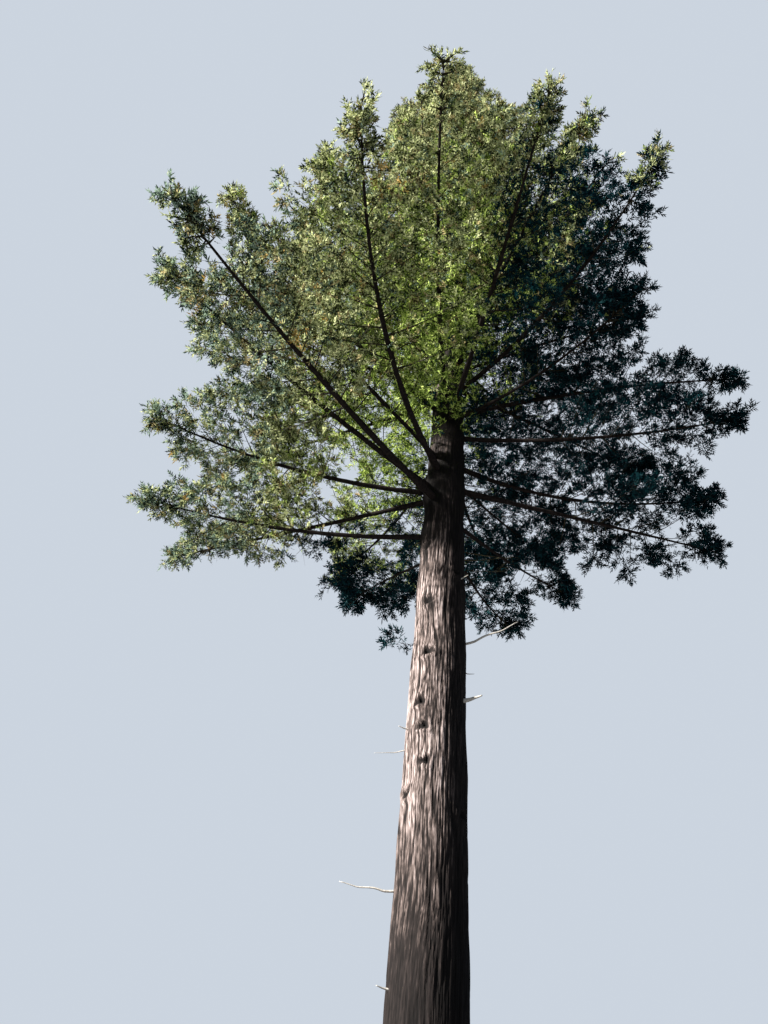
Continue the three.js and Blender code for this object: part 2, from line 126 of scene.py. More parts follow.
# Boughs whose twigs start nearer the trunk
OWN_STARTS = {
    "back": 0.12,
    "back_right_low": 0.12,
    "back_inner": 0.14,
    "right_back_upper": 0.12,
    "back_right_upper": 0.12,
    "back_upper": 0.12,
    "back_left_upper": 0.12,
}
# Boughs of the upper crown, and the two forks of each
UPPER = {
    "count": 14,
    "heights": (18.3, 35.1),
    "first_heading": 300,
    "crown_top": 38.4,
    "crown_foot": 15,
    "reach_at_foot": 6.8,
    "taper": 1.06,
    "lift": (0.12, 0.7),
    "stem": {"from": 0.26, "spread": 110},
    "main": {"twigs": 4, "width": 0.42},
    "fork": {"twigs": 2, "width": 0.44},
}
FORKS = [
    {"turn": 44, "share": 0.17, "reach": 0.78, "lift": 0.45},
    {"turn": -40, "share": 0.24, "reach": 0.76, "lift": -0.28},
]
LEADER = {"lean": 0.06, "width": 0.5, "twigs": 6, "from": 0.08, "spread": 0}

# Finer growth: branches stand three times as close as the solids' twigs, and carry shoots with sprays.
# A pair of angles or sizes runs from a parent's root to its tip, and a lean is a mean and a spread
BRANCHES_PER_TWIG = 3
BETWEEN_LENGTH = 0.8
BRANCH_SAG = 0.05
BRANCH_THINNING = 0.75
# A bough that hides its stem has shoots from nearer the trunk on, as a share of where its twigs start
INNER_START = 0.35
SHOOT_SWELL = np.array([[0, 0.55], [0.3, 1], [0.7, 0.8], [1, 0.5]])
SHOOT_SIZES = {"share": 0.32, "least": 0.26, "most": 0.6}
SHOOTS = {"gap": 0.138, "places": (0.1, 0.96), "angles": (66, 40), "lean": (4, 24), "roll": 30, "sag": 0.06}
STEM_SHOOTS = {**SHOOTS, "gap": 0.14, "places": (0.02, 0.96), "lean": (32, 34)}
SHOOT_THICKNESS = 0.4
SHOOT_TAPER = 0.8
# Ranges of chance for a shoot's place, angle and size
SHOOT_LUCK = {"place": (0.2, 0.8), "angle": (-12, 12), "size": (0.8, 1.15)}
TIP_SHOOTS = {"count": 5, "start": 0.84, "angles": (12, 75)}
TIP_SHOOT_LENGTH = 0.26
# The lower boughs end in rounded tufts
ROUND_TUFTS = {"count": 32, "start": 0.78, "angles": (15, 105)}
ROUND_TUFT_RADIUS = 0.29
TUFT_END = 0.99
TUFT_ROLL = 30
TUFT_LUCK = {"turn": (-0.6, 0.6), "size": (0.75, 1.15)}
SPRAYS = {"gap": 0.0655, "places": (0.15, 0.95), "angles": (62, 40), "lean": (6, 34), "roll": 45, "sag": 0}
TIP_SPRAYS = {"count": 3, "start": 0.8, "angles": (5, 60)}
SPRAY_LENGTH = 0.15
SPRAY_SIZES = (1.1, 0.85)
SPRAY_DROOP = 0.12
# How far the furthest twig's tip may pass the CAD's box
TIP_MARGIN = 0.26
TWIG_TIP = 0.08
# Needles along a spray. Their places, angles and sizes run from its root to its tip, and the last one, which
# ends the spray, points almost straight on
NEEDLES = 6
NEEDLE_PLACES = (0.05, 0.93)
NEEDLE_REACH = 0.68
NEEDLE_SIZES = (1.05, 0.65)
NEEDLE_WIDTH = 0.034
NEEDLE_ANGLE = (62, 24)
NEEDLE_LIFT = (-0.5, 0.7)
NEEDLE_LUCK = {"place": (-0.02, 0.02), "angle": (-9, 9), "size": (0.8, 1.2)}
LAST_NEEDLE_TURN = 0.1
PIECE_FACES = 190_000
# Leafy sprigs on the trunk, a small one low down and the rest inside the fan of boughs: height, heading,
# reach and rise
SPRIGS = [
    (9.3, 174, 0.85, 0.05),
    (14.6, 240, 1.7, 0.4),
    (14.8, 268, 1.6, 0.4),
    (14.8, 290, 1.6, 0.5),
    (15.3, 256, 1.9, 0.4),
    (15.7, 228, 1.6, 0.6),
    (15.9, 298, 1.7, 0.5),
    (16.3, 262, 1.8, 0.6),
    (14.2, 205, 1.7, 0.4),
    (14.9, 128, 1.9, 0.5),
    (15.6, 110, 2.2, 0.6),
    (14.9, 48, 1.9, 0.5),
    (15.7, 62, 2.3, 0.6),
    (15.0, 330, 1.7, 0.5),
    (13.3, 155, 2.5, 0.5),
    (14.4, 178, 1.9, 0.4),
    (12.2, 75, 2.2, 0.3),
    (12.6, 35, 2.5, 0.3),
    (13.0, 100, 2.3, 0.4),
    (13.2, 58, 2.7, 0.3),
    (13.6, 18, 2.8, 0.3),
    (14.2, 352, 2.6, 0.3),
    (14.6, 25, 3.1, 0.3),
    (15.2, 5, 3.1, 0.4),
    (15.7, 335, 2.7, 0.4),
    (16.3, 30, 3.2, 0.5),
    (16.5, 350, 3.0, 0.5),
    (16.2, 310, 2.2, 0.4),
    (13.9, 75, 3.0, 0.3),
]
# More of them fill the upper crown, and short ones hug its trunk. Both get shorter and steeper to the top
UPPER_SPRIGS = {"count": 84, "heights": (16.9, 36), "reach": (3.3, 0.6), "rise": (0.2, 0.55)}
TRUNK_SPRIGS = {"count": 96, "heights": (16, 35.6), "reach": (1.2, 0.5), "rise": (0.3, 0.5)}
SPRIG_THICKNESS = 0.006
SPRIG_SIZES = (0.7, 1.2)
# The wood shows bare under the lower boughs, where few shoots are kept. The bare space widens from the wood
# down, by "spread" for each metre and to its limit
BARE_UNDER = {"depth": 1.3, "width": 0.1, "spread": 0.9, "limit": 0.42, "places": (0.15, 0.88), "kept": 0.1}

# Bark: two sizes of furrows, by how many there are to a metre round the trunk and along it, width and depth
FURROWS = [
    {"across": 11, "along": 0.5, "offset": 0, "edge": 0.16, "depth": 0.012},
    {"across": 34, "along": 1.3, "offset": 0, "edge": 0.3, "depth": 0.014},
]
FURROW_SWAY = {"across": 0.9, "along": 0.6, "offset": 0, "size": 0.07}
SWELLING = {"across": 1.8, "along": 1.1, "offset": 40, "size": 0.03}
# How much the ridges are rounded, in their relief and in their tone, and the fine ridges' share of the tone
RIDGES = {"relief": 0.7, "tone": 0.6, "fine_share": 0.8}
# The bark gets thinner where the trunk's radius is less than "radius"
THIN_BARK = {"radius": 0.45, "least": 0.15}
# Painted shade: the trunk gets darker towards its foot and inside the crown, between two heights
FOOT_SHADE = {"heights": (3.6, 7), "tone": 0.2}
CROWN_SHADE = {"heights": (10, 12.4), "tone": 0.34}
# Painted shade on the trunk's shaded side: its heading, the edge of the shade as two cosines, and how dark it
# gets
SHADED_SIDE = {"heading": 345, "edge": (0.3, 0.75), "tone": 0.3}
# Tubes end in a ring of this radius
CLOSED_RADIUS = 0.002
# Heights where the rings of the trunk's mesh change their spacing, and how many lie between
TRUNK_RINGS = {"lower": [(0, 4.4, 50), (4.4, 11.8, 150), (11.8, 14.6, 30)], "upper": [(14.5, 36.3, 120)]}
TRUNK_SIDES = {"lower": 264, "upper": 56}
# Scars of shed limbs: height and heading
KNOTS = [
    (11.34, 219.5),
    (9.97, 234),
    (8.87, 239),
    (7.91, 231),
    (7.45, 241),
    (6.85, 246.5),
    (6.36, 211),
    (10.4, 20),
    (9.3, 75),
    (8.2, 130),
    (7.1, 50),
    (6.1, 320),
    (5.2, 100),
    (10.7, 300),
]
# A scar's forms, as height, distance of the crest from the middle, and width: a mound, a rim and a hole
SCAR_FORMS = [(0.025, 0, 0.24), (0.022, 0.12, 0.05), (-0.08, 0, 0.065)]
SCAR_LIP = {"height": 0.02, "half_width": 0.13, "below": 0.12, "thickness": 0.05}
SCAR_SIZES = (0.7, 1.1)
SCAR_STRETCH = (0.9, 1.1)
SCAR_EDGE = {"points": 3, "depth": 0.25}
SCAR_DARK = 0.085
# Wrinkled collar round the root of each bare limb. Painted shade darkens the bark round the root
ROOT_COLLAR = {"height": 0.05, "width": 0.24, "stretch": 0.7, "dark": 0.95, "dark_width": 0.28}
ROOT_EDGE = {"points": 5, "depth": 0.3}
# Dead limbs: name, height, heading, reach, rise and radius
DEAD_LIMBS = [
    ("dead_limb_right", 9.15, 352, 1.45, 0.7, 0.028),
    ("dead_limb_left", 5.05, 182, 1.35, 0.02, 0.018),
]
# Short dead stubs and twigs that stand out of the bark, with the same sizes
STUBS = [
    (8.05, 335, 0.8, 0.12, 0.05),
    (7.5, 197, 0.68, 0.02, 0.018),
    (7.35, 186, 1.02, -0.3, 0.009),
    (3.75, 197, 0.74, 0.03, 0.02),
    (10.6, 318, 0.62, 0.05, 0.016),
    (9.7, 62, 0.66, 0.04, 0.02),
    (6.6, 118, 0.72, 0.0, 0.02),
    (8.8, 12, 0.68, 0.05, 0.016),
]
DEAD_WOOD = {"rings": 15, "sides": 8, "taper": 0.75, "knobs": (1.1, 0.9), "bends": 5, "wander": 0.035}
# Rings and sides of a bare limb's tube, and of a bough that foliage hides
BOUGH_RINGS = {"limb": {"gap": 0.16, "sides": 12}, "hidden": {"gap": 0.25, "sides": 8}}
LEAST_RINGS = 8
BOUGH_END = 0.985
ROUGHNESS = {"size": 0.25, "around": 1.5, "along": 2.2, "finer": 2.7, "finer_size": 0.6}
# Where the wood on the trunk starts, as a share of the trunk's radius
ROOTS = {"bough": 0.7, "dead": 0.85, "sprig": 0.9}

UP = np.array([0.0, 0.0, 1.0])
SEED = 7
rng = np.random.default_rng(SEED)
# Noise vectors, which bend the dead wood, start from the clock unless seeded
noise.seed_set(SEED)


def mix(a, b, share):
    return a + (b - a) * share


def between(stations, place):
    return np.interp(place, stations[:, 0], stations[:, 1])


def unit(vectors):
    return vectors / np.maximum(np.linalg.norm(vectors, axis=-1, keepdims=True), 1e-9)


def seeded(seed):
    """The solids' own random numbers"""
    state = (seed + 1) * RANDOM["first"] % RANDOM["range"]

    def step():
        nonlocal state
        state = (state * RANDOM["factor"] + RANDOM["step"]) % RANDOM["range"]
        return state / RANDOM["range"]

    step()
    step()
    return step


class Curves:
    """Centre lines that bow in the middle, as arrays with one row for each"""

    def __init__(self, start, chord, bow, normal, radius):
        self.start = np.asarray(start, float)
        self.chord = np.asarray(chord, float)
        self.bow = np.asarray(bow, float)
        self.normal = np.asarray(normal, float)
        self.radius = np.asarray(radius, float)
        self.length = np.linalg.norm(self.chord, axis=-1)

    def point(self, index, share):
        share = np.asarray(share, float)[..., None]
        return self.start[index] + self.chord[index] * share + self.bow[index] * 4 * share * (1 - share)

    def tangent(self, index, share):
        share = np.asarray(share, float)[..., None]
        return unit(self.chord[index] + self.bow[index] * 4 * (1 - 2 * share))


def bough_line(start, heading, reach, lift, sweep=0.0, span=None):
    """Start, chord and bow of a bough's centre line, and the span that its sizes follow"""
    angle = math.radians(heading)
    outward = np.array([math.cos(angle), math.sin(angle), 0])
    aside = np.cross(UP, outward)
    chord = outward * reach + UP * lift
    bow = aside * sweep - UP * BOUGH_SAG * reach
    return {"start": np.asarray(start, float), "chord": chord, "bow": bow, "span": span or reach}


def line_point(line, share):
    return line["start"] + line["chord"] * share + line["bow"] * 4 * share * (1 - share)


def line_frame(line, share):
    forward = unit(line["chord"] + line["bow"] * 4 * (1 - 2 * share))
    right = unit(np.cross(forward, UP))
    return forward, right, np.cross(right, forward)


def line_radius(line, share):
    collar = 1 + COLLAR["growth"] * np.exp(-share / COLLAR["share"])
    return line["span"] * (BOUGH_THICKNESS * (1 - share) ** BOUGH_TAPER * collar + TIP_THICKNESS)


def all_boughs():
    """Each bough's name and its stems, in the solids' order"""
    boughs = []
    for name, height, heading, reach, lift, sweep, width, limb in LOWER_BOUGHS:
        line = bough_line((0, 0, height), heading, reach, lift, sweep)
        start = LIMB_SHARE if limb else OWN_STARTS.get(name, LOWER["from"])
        stem = {**LOWER, "line": line, "from": start, "width": width}
        boughs.append({"name": name, "limb": limb, "stems": [stem]})
    for number in range(UPPER["count"]):
        share = number / (UPPER["count"] - 1)
        height = mix(*UPPER["heights"], share)
        tapering = (UPPER["crown_top"] - height) / (UPPER["crown_top"] - UPPER["crown_foot"])
        reach = UPPER["reach_at_foot"] * tapering ** UPPER["taper"]
        heading = UPPER["first_heading"] + GOLDEN_TURN * number
        rise = mix(*UPPER["lift"], share)
        line = bough_line((0, 0, height), heading, reach, reach * rise)
        stems = [{**UPPER["stem"], **UPPER["main"], "line": line}]
        for fork in FORKS:
            fork_reach = reach * fork["reach"]
            fork_heading = heading + fork["turn"]
            fork_rise = fork_reach * (rise + fork["lift"])
            fork_line = bough_line(line_point(line, fork["share"]), fork_heading, fork_reach, fork_rise)
            stems.append({**UPPER["stem"], **UPPER["fork"], "line": fork_line})
        boughs.append({"name": f"upper_{number + 1:02d}", "limb": False, "stems": stems})
    span = TREE_HEIGHT - TRUNK_HEIGHT
    line = bough_line((0, 0, TRUNK_HEIGHT), 0, LEADER["lean"], span, span=span)
    boughs.append({"name": "leader", "limb": False, "stems": [{**LEADER, "line": line, "spiral": True}]})
    return boughs


BOUGHS = all_boughs()
FAN = BOUGHS[: len(LOWER_BOUGHS)]
MASS_NODES = [f"foliage_{bough['name']}" for bough in BOUGHS]


def branch_of(bough_index, stem_index, stem, step):
    """A stem's branch: every third one is the solids' own twig, and the rest stand between them"""
    number = (step - 1) / BRANCHES_PER_TWIG
    own = step % BRANCHES_PER_TWIG == 1
    seed = bough_index * SEED_STEPS["bough"] + stem_index * SEED_STEPS["stem"] + int(number)
    random = seeded(seed if own else seed + SEED_STEPS["between"] * (step % BRANCHES_PER_TWIG + 1))
    share = (number + TWIG_OFFSET) / stem["twigs"]
    place = mix(stem["from"] + TWIG_ROOM, STEM_END - TWIG_ROOM, share)
    side = 1 if step % 2 else -1
    angle = mix(TWIG_ANGLE["inner"], TWIG_ANGLE["outer"], share) + TWIG_ANGLE["spread"] * (random() - 0.5)
    rise = TWIG_RISE + stem["spread"] * (random() - 0.5)
    turn = GOLDEN_TURN * number if stem.get("spiral") else (rise if side > 0 else 180 - rise)
    forward, right, upward = line_frame(stem["line"], place)
    angle, turn = math.radians(angle), math.radians(turn)
    sideways = right * math.cos(turn) + upward * math.sin(turn)
    direction = forward * math.cos(angle) + sideways * math.sin(angle)
    level_right = unit(np.cross(direction, UP))
    level = np.cross(level_right, direction)
    roll = math.radians(TWIG_ROLL * (2 * random() - 1))
    normal = level * math.cos(roll) + np.cross(direction, level) * math.sin(roll)
    length = stem["line"]["span"] * stem["width"] * between(TWIG_SWELL, share)
    length *= mix(*TWIG_LENGTHS, random())
    if not own:
        length *= BETWEEN_LENGTH
    return {
        "start": line_point(stem["line"], place),
        "chord": direction * length,
        "bow": -UP * BRANCH_SAG * length,
        "normal": normal,
        "radius": line_radius(stem["line"], place) * TWIG_THICKNESS,
    }


CURVE_KEYS = ("start", "chord", "bow", "normal", "radius")


def as_curves(rows):
    return Curves(*[np.array([row[key] for row in rows]) for key in CURVE_KEYS])


def all_branches():
    rows = []
    for bough_index, bough in enumerate(BOUGHS):
        for stem_index, stem in enumerate(bough["stems"]):
            for step in range(stem["twigs"] * BRANCHES_PER_TWIG):
                rows.append(branch_of(bough_index, stem_index, stem, step))
    return as_curves(rows)


def stem_curves(boughs):
    """The leafy part of each stem, up to the bough's tip"""
    rows = []
    for bough in boughs:
        for stem in bough["stems"]:
            line = stem["line"]
            start = stem["from"] * (1 if bough["limb"] else INNER_START)
            first, last = line_point(line, start), line_point(line, 1)
            middle = line_point(line, (start + 1) / 2)
            upward = line_frame(line, (start + 1) / 2)[2]
            row = {"start": first, "chord": last - first, "bow": middle - (first + last) / 2}
            rows.append({**row, "normal": upward, "radius": line_radius(line, start)})
    return as_curves(rows)


def sprig_curves():
    sprigs = list(SPRIGS)
    for group in (UPPER_SPRIGS, TRUNK_SPRIGS):
        for number in range(group["count"]):
            share = number / (group["count"] - 1)
            height = mix(*group["heights"], share)
            reach = mix(*group["reach"], share) * mix(*SPRIG_SIZES, seeded(number)())
            sprigs.append((height, GOLDEN_TURN * number, reach, reach * mix(*group["rise"], share)))
    rows = []
    for height, heading, reach, rise in sprigs:
        line = bough_line((0, 0, height), heading, reach, rise)
        root = ROOTS["sprig"] * trunk_radius(height) / reach
        first, last = line_point(line, root), line_point(line, 1)
        row = {"start": first, "chord": last - first, "bow": -UP * BRANCH_SAG * reach, "normal": UP}
        rows.append({**row, "radius": SPRIG_THICKNESS})
    return as_curves(rows)


def offshoots(parents, length_of, thickness, gap, places, angles, lean, roll, sag):
    """Shoots that branch alternately off both sides of their parents"""
    counts = np.maximum(2, np.round(parents.length / gap).astype(int))
    index = np.repeat(np.arange(len(counts)), counts)
    number = np.arange(len(index)) - np.repeat(np.cumsum(counts) - counts, counts)
    share = (number + rng.uniform(*SHOOT_LUCK["place"], len(index))) / counts[index]
    place = mix(*places, share)
    side = np.where((number + index) % 2, -1.0, 1.0)
    angle = np.radians(mix(*angles, share) + rng.uniform(*SHOOT_LUCK["angle"], len(index)))
    tilt = np.radians(rng.normal(*lean, len(index)))
    forward = parents.tangent(index, place)
    right = unit(np.cross(forward, parents.normal[index]))
    upward = np.cross(right, forward)
    sideways = right * (side * np.cos(tilt))[:, None] + upward * np.sin(tilt)[:, None]
    direction = forward * np.cos(angle)[:, None] + sideways * np.sin(angle)[:, None]
    length = length_of(parents.length[index], share) * rng.uniform(*SHOOT_LUCK["size"], len(index))
    return Curves(
        parents.point(index, place),
        direction * length[:, None],
        -UP * (sag * length)[:, None],
        rolled(direction, upward, rng.normal(0, roll, len(index))),
        parents.radius[index] * (1 - SHOOT_TAPER * place) * thickness,
    )


def tufts(parents, length, thickness, count, start, angles):
    """Shoots that spread out all round from the ends of their parents"""
    index = np.repeat(np.arange(len(parents.length)), count)
    number = np.arange(len(index))
    place = rng.uniform(start, TUFT_END, len(index))
    angle = np.radians(rng.uniform(*angles, len(index)))
    turn = np.radians(GOLDEN_TURN) * number + rng.uniform(*TUFT_LUCK["turn"], len(index))
    forward = parents.tangent(index, place)
    right = unit(np.cross(forward, parents.normal[index]))
    upward = np.cross(right, forward)
    sideways = right * np.cos(turn)[:, None] + upward * np.sin(turn)[:, None]
    direction = forward * np.cos(angle)[:, None] + sideways * np.sin(angle)[:, None]
    size = length * rng.uniform(*TUFT_LUCK["size"], len(index))
    return Curves(
        parents.point(index, place),
        direction * size[:, None],
        np.zeros_like(direction),
        rolled(direction, upward, rng.normal(0, TUFT_ROLL, len(index))),
        parents.radius[index] * thickness,
    )


def shoot_length(parent_length, share):
    size = np.clip(parent_length * SHOOT_SIZES["share"], SHOOT_SIZES["least"], SHOOT_SIZES["most"])
    return size * between(SHOOT_SWELL, share)


def spray_length(parent_length, share):
    return SPRAY_LENGTH * mix(*SPRAY_SIZES, share)


def chosen(curves, keep):
    return Curves(*[getattr(curves, key)[keep] for key in CURVE_KEYS])


def cleared(curves):
    """The curves without most of those that start just under a lower bough"""
    bare = np.zeros(len(curves.length), bool)
    for bough in FAN:
        line = bough["stems"][0]["line"]
        outward = unit(line["chord"] * (1, 1, 0))
        share = np.clip((curves.start - line["start"]) @ outward / line["span"], 0, 1)
        away = curves.start - line_point(line, share[:, None])
        below, beside = -away[:, 2], np.abs(away @ np.cross(UP, outward))
        trough = np.minimum(BARE_UNDER["width"] + BARE_UNDER["spread"] * below, BARE_UNDER["limit"])
        near = (below > 0) & (below < BARE_UNDER["depth"]) & (beside < trough)
        bare |= near & (share > BARE_UNDER["places"][0]) & (share < BARE_UNDER["places"][1])
    return chosen(curves, ~bare | (rng.uniform(0, 1, len(bare)) < BARE_UNDER["kept"]))


def within_reach(curves):
    """The curves whose tips stay in the CAD's box, or close to it"""
    tips = curves.start + curves.chord
    inside = (tips > np.array(cad_low) - TIP_MARGIN) & (tips < np.array(cad_high) + TIP_MARGIN)
    return chosen(curves, np.all(inside, axis=1))


def rolled(direction, upward, degrees):
    """Normals square to each direction, turned about it from the most upright one"""
    normal = unit(upward - direction * np.sum(upward * direction, axis=1, keepdims=True))
    roll = np.radians(degrees)[:, None]
    return normal * np.cos(roll) + np.cross(direction, normal) * np.sin(roll)


def joined(*groups):
    return Curves(*[np.concatenate([getattr(group, key) for group in groups]) for key in CURVE_KEYS])


def mesh_piece(name, vertices, faces, material, smooth=False):
    """An object from an array of vertices and an array of faces with the same number of corners"""
    mesh = bpy.data.meshes.new(name)
    count, corners = faces.shape
    mesh.vertices.add(len(vertices))
    mesh.vertices.foreach_set("co", np.asarray(vertices, np.float32).ravel())
    mesh.loops.add(count * corners)
    mesh.loops.foreach_set("vertex_index", np.asarray(faces, np.int32).ravel())
    mesh.polygons.add(count)
    mesh.polygons.foreach_set("loop_start", np.arange(0, count * corners, corners, dtype=np.int32))
    mesh.polygons.foreach_set("use_smooth", np.full(count, smooth))
    mesh.update(calc_edges=True)
    mesh.validate()
    piece = bpy.data.objects.new(name, mesh)
    bpy.context.scene.collection.objects.link(piece)
    mesh.materials.append(material)
    return piece


def tube_arrays(centres, rights, uppers, radii):
    """Vertices and quads of tubes: centres is (tubes, rings, 3), and radii (tubes, rings, sides)"""
    tubes, rings, sides = radii.shape
    angles = (np.arange(sides) + 0.5) / sides * 2 * np.pi
    around = uppers[:, :, None] * np.cos(angles)[:, None] + rights[:, :, None] * np.sin(angles)[:, None]
    vertices = (centres[:, :, None] + around * radii[..., None]).reshape(-1, 3)
    corner = np.arange(tubes * rings * sides).reshape(tubes, rings, sides)
    following = np.roll(corner, -1, axis=2)
    quads = np.stack([corner[:, :-1], following[:, :-1], following[:, 1:], corner[:, 1:]], axis=-1)
    return vertices, quads.reshape(-1, 4)


def tubes_of(curves, sides, steps):
    shares = np.linspace(0, 1, steps + 1)
    index = np.repeat(np.arange(len(curves.length))[:, None], steps + 1, axis=1)
    places = np.broadcast_to(shares, index.shape)
    centres = curves.point(index, places)
    forward = curves.tangent(index, places)
    right = unit(np.cross(forward, curves.normal[index]))
    upper = np.cross(right, forward)
    radii = curves.radius[index] * mix(1, TWIG_TIP, places)
    return tube_arrays(centres, right, upper, np.repeat(radii[..., None], sides, axis=2))


def merged(parts):
    """One array of vertices and one of faces from several"""
    starts = np.cumsum([0] + [len(vertices) for vertices, _ in parts[:-1]])
    faces = [part[1] + start for part, start in zip(parts, starts)]
    return np.concatenate([part[0] for part in parts]), np.concatenate(faces)


def needle_arrays(sprays):
    """Vertices (sprays, needles, 3 corners, 3) of one-sided needles along both sides of each spray"""
    count = len(sprays.length)
    number = np.arange(NEEDLES)
    side = np.where(number % 2, -1.0, 1.0)
    share = mix(*NEEDLE_PLACES, number / (NEEDLES - 1))
    share = share + rng.uniform(*NEEDLE_LUCK["place"], (count, NEEDLES))
    angle = np.radians(mix(*NEEDLE_ANGLE, share) + rng.uniform(*NEEDLE_LUCK["angle"], (count, NEEDLES)))
    angle[:, -1] *= LAST_NEEDLE_TURN
    forward = unit(sprays.chord)
    right = unit(np.cross(forward, sprays.normal))
    upward = np.cross(right, forward)
    length = sprays.length[:, None]
    size = mix(*NEEDLE_SIZES, share) * rng.uniform(*NEEDLE_LUCK["size"], share.shape)
    reach = length * NEEDLE_REACH * size
    lift = rng.uniform(*NEEDLE_LIFT, share.shape)
    base = sprays.start[:, None] + forward[:, None] * (length * share)[..., None]
    base = base - UP * (SPRAY_DROOP * length * share**2)[..., None]
    direction = (
        forward[:, None] * np.cos(angle)[..., None]
        + right[:, None] * (side * np.sin(angle))[..., None]
        + upward[:, None] * lift[..., None]
    )
    direction = unit(direction)
    across = unit(np.cross(direction, upward[:, None])) * (NEEDLE_WIDTH / 2)
    tip = base + direction * reach[..., None]
    return np.stack([base - across, base + across, tip], axis=2)


def trunk_radius(height):
    return between(TRUNK_GIRTHS, height) / 2


def flare_radius(height, angle):
    lobe = 1 + FLARE["depth"] * np.cos(FLARE["lobes"] * angle + np.sin(2 * angle))
    return FLARE["spread"] * np.exp(-height / FLARE["height"]) * lobe


def grain_at(grain, x, y, z):
    """Noise that is drawn out along the trunk"""
    across, along = grain["across"], grain["along"]
    return noise.noise(Vector((x * across, y * across, z * along + grain["offset"])))


def furrow_at(furrow, x, y, z):
    """0 in the bottom of a furrow and 1 on the ridges beside it"""
    return min(1, abs(grain_at(furrow, x, y, z)) / furrow["edge"])


def bark_at(x, y, z):
    """How far the bark stands in or out at a place, and how much of a ridge it is, from 0 to 1"""
    sway = FURROW_SWAY["size"] * grain_at(FURROW_SWAY, x, y, z)
    wide, fine = (furrow_at(furrow, x + sway, y - sway, z) for furrow in FURROWS)
    depth = FURROWS[0]["depth"] * (wide ** RIDGES["relief"] - 1) + FURROWS[1]["depth"] * (fine - 1)
    swelling = SWELLING["size"] * grain_at(SWELLING, x, y, z)
    return depth + swelling, wide ** RIDGES["tone"] * mix(1, fine, RIDGES["fine_share"])


def hump(distance, width, power=2):
    """1 at no distance, and next to 0 from about twice the width on"""
    return np.exp(-((distance / width) ** power))


def turn_from(heading, angle):
    """The turn from a heading to each angle, at most half a turn either way"""
    return (angle - math.radians(heading) + np.pi) % (2 * np.pi) - np.pi


def ragged(edge, beside, above, number):
    """How far a ragged edge stands out in each direction from its middle"""
    return 1 + edge["depth"] * np.sin(edge["points"] * np.arctan2(above, beside) + number)


def knot_relief(radius, angle, height):
    """Relief of the scars and of the limbs' collars at each place, and how dark they are, with painted shade
    round the collars
    """
    relief = np.zeros_like(height)
    dark = np.zeros_like(height)
    for number, (knot_height, heading) in enumerate(KNOTS):
        size = mix(*SCAR_SIZES, seeded(number)())
        beside, above = turn_from(heading, angle) * radius / size, (height - knot_height) / size
        away = np.hypot(beside * SCAR_STRETCH[0], above * SCAR_STRETCH[1])
        away /= ragged(SCAR_EDGE, beside, above, number)
        for rise, crest, width in SCAR_FORMS:
            relief += size * rise * hump(away - crest, width)
        lip = hump(beside, SCAR_LIP["half_width"]) * hump(above + SCAR_LIP["below"], SCAR_LIP["thickness"])
        relief += size * SCAR_LIP["height"] * lip
        dark = np.maximum(dark, hump(away, SCAR_DARK, 4))
    for number, (_, limb_height, heading, *_, limb) in enumerate(LOWER_BOUGHS):
        if limb:
            beside, above = turn_from(heading, angle) * radius, height - limb_height
            away = np.hypot(beside, ROOT_COLLAR["stretch"] * above)
            away /= ragged(ROOT_EDGE, beside, above, number)
            relief += ROOT_COLLAR["height"] * hump(away, ROOT_COLLAR["width"])
            # Painted shade darkens the bark round each limb's root
            dark = np.maximum(dark, ROOT_COLLAR["dark"] * hump(away, ROOT_COLLAR["dark_width"], 4))
    return relief, dark


def trunk_piece(part, material):
    """One of the trunk's two pieces, with the bark's relief and, as the value ridge, its tone, which holds
    painted shade at the foot, inside the crown and on the shaded side
    """
    heights = [np.linspace(low, high, count, endpoint=False) for low, high, count in TRUNK_RINGS[part]]
    heights = np.concatenate([*heights, [TRUNK_RINGS[part][-1][1]]])
    sides = TRUNK_SIDES[part]
    angles = np.arange(sides) / sides * 2 * np.pi
    height, angle = np.meshgrid(heights, angles, indexing="ij")
    radius = trunk_radius(height) + flare_radius(height, angle)
    places = np.stack([radius * np.cos(angle), radius * np.sin(angle), height], axis=-1).reshape(-1, 3)
    stands, ridges = np.array([bark_at(*place) for place in places]).T.reshape(2, *radius.shape)
    thickness = np.clip(trunk_radius(height) / THIN_BARK["radius"], THIN_BARK["least"], 1)
    relief, dark = knot_relief(radius, angle, height)
    surface = radius + thickness * stands + relief
    # Painted shade: the side away from the key light is darker
    side_shade = np.cos(angle - math.radians(SHADED_SIDE["heading"]))
    # Painted shade at the foot and inside the crown, with the scars' and collars' dark
    tone = ridges * (1 - dark) * np.interp(height, FOOT_SHADE["heights"], [FOOT_SHADE["tone"], 1])
    tone *= np.interp(height, CROWN_SHADE["heights"], [1, CROWN_SHADE["tone"]])
    tone *= np.interp(side_shade, SHADED_SIDE["edge"], [1, SHADED_SIDE["tone"]])
    # The first and the last ring close the ends
    surface = np.vstack([np.full(sides, CLOSED_RADIUS), surface, np.full(sides, CLOSED_RADIUS)])
    height, angle, tone = (np.vstack([rows[:1], rows, rows[-1:]]) for rows in (height, angle, tone))
    vertices = np.stack([surface * np.cos(angle), surface * np.sin(angle), height], axis=-1).reshape(-1, 3)
    corner = np.arange(height.size).reshape(height.shape)
    following = np.roll(corner, -1, axis=1)
    quads = np.stack([corner[:-1], following[:-1], following[1:], corner[1:]], axis=-1).reshape(-1, 4)
    piece = mesh_piece(f"trunk_{part}", vertices, quads, material, smooth=True)
    ridge = piece.data.attributes.new("ridge", "FLOAT", "POINT")
    ridge.data.foreach_set("value", tone.astype(np.float32).ravel())
    return piece


